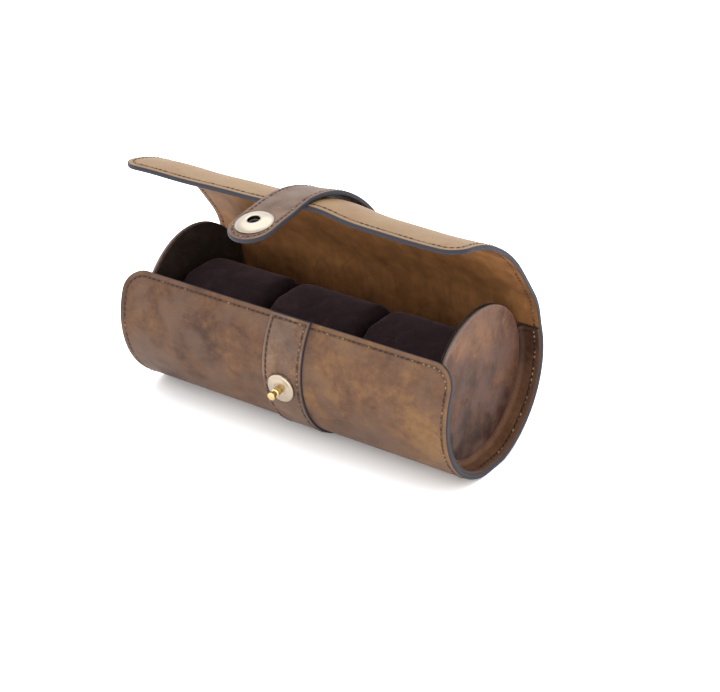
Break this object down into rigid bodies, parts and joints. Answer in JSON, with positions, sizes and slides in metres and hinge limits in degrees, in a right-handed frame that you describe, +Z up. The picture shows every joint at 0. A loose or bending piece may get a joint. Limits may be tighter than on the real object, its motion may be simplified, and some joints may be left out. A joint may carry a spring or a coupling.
{
  "type": "watch roll",
  "caption": "Cylindrical leather watch roll with inset end discs, a curling lined flap, a snap strap and removable watch pillows, shown half open.",
  "frame": {"origin": "middle of the flat underneath, where the roll rests", "axes": "+X along the roll to the right as seen from the stud side, +Y to the back, +Z up"},
  "size_m": [0.205, 0.1282, 0.1386],
  "materials": {
    "outer_leather": "waxed pull-up leather, mottled brown, slight sheen",
    "strap_leather": "waxed pull-up leather, a little darker and smoother",
    "lining_leather": "matte tan leather with fine creases",
    "dark_suede": "dark plum microsuede",
    "foam": "open-cell foam",
    "board": "stiff fibre board",
    "gold_metal": "pale gold plated, satin",
    "steel": "plain"
  },
  "bodies": {
    "case": {"body_leather": "outer_leather", "body_lining": "lining_leather", "end_cover_left": "outer_leather", "end_cover_right": "outer_leather", "end_board_left": "board", "end_board_right": "board", "end_lining_left": "dark_suede", "end_lining_right": "dark_suede", "front_strip": "strap_leather", "stud_plate": "gold_metal", "stud_post": "gold_metal", "stud_washer": "steel", "strap_back_leather": "strap_leather", "strap_back_lining": "strap_leather"},
    "flap_rear": {"flap_rear_leather": "outer_leather", "flap_rear_lining": "lining_leather", "strap_rear_leather": "strap_leather", "strap_rear_lining": "strap_leather"},
    "flap_middle": {"flap_middle_leather": "outer_leather", "flap_middle_lining": "lining_leather", "strap_middle_leather": "strap_leather", "strap_middle_lining": "strap_leather"},
    "flap_front": {"flap_front_leather": "outer_leather", "flap_front_lining": "lining_leather", "strap_front_leather": "strap_leather", "strap_front_lining": "strap_leather"},
    "strap_end": {"strap_end_leather": "strap_leather", "strap_end_lining": "strap_leather", "socket_cap": "gold_metal", "socket_spring": "steel", "socket_back": "gold_metal"},
    "pillow_left": {"pillow_cover_left": "dark_suede", "pillow_end_panels_left": "dark_suede", "pillow_foam_left": "foam"},
    "pillow_middle": {"pillow_cover_middle": "dark_suede", "pillow_end_panels_middle": "dark_suede", "pillow_foam_middle": "foam"},
    "pillow_right": {"pillow_cover_right": "dark_suede", "pillow_end_panels_right": "dark_suede", "pillow_foam_right": "foam"}
  },
  "joints": [
    {"name": "flap_hinge", "type": "hinge", "parent": "case", "child": "flap_rear", "pos_m": [0, 0.04146, 0.06553], "axis": [-1, 0, 0], "range_deg": [-22.2, 45]},
    {"name": "flap_curl_rear", "type": "hinge", "parent": "flap_rear", "child": "flap_middle", "pos_m": [0, 0.01928, 0.10278], "axis": [-1, 0, 0], "range_deg": [-24.87, 15]},
    {"name": "flap_curl_front", "type": "hinge", "parent": "flap_middle", "child": "flap_front", "pos_m": [0, -0.0066, 0.1245], "axis": [-1, 0, 0], "range_deg": [-15.42, 9.3]},
    {"name": "strap_fold", "type": "hinge", "parent": "flap_front", "child": "strap_end", "pos_m": [0, -0.04161, 0.13636], "axis": [-1, 0, 0], "range_deg": [-25.06, 60]},
    {"name": "pillow_left_lift", "type": "slide", "parent": "case", "child": "pillow_left", "axis": [0, 0, 1], "range_m": [0, 0.034]},
    {"name": "pillow_middle_lift", "type": "slide", "parent": "case", "child": "pillow_middle", "axis": [0, 0, 1], "range_m": [0, 0.034]},
    {"name": "pillow_right_lift", "type": "slide", "parent": "case", "child": "pillow_right", "axis": [0, 0, 1], "range_m": [0, 0.034]}
  ],
  "couplings": [
    {"joint": "flap_curl_front", "follows": "flap_curl_rear", "ratio": 0.62}
  ]
}
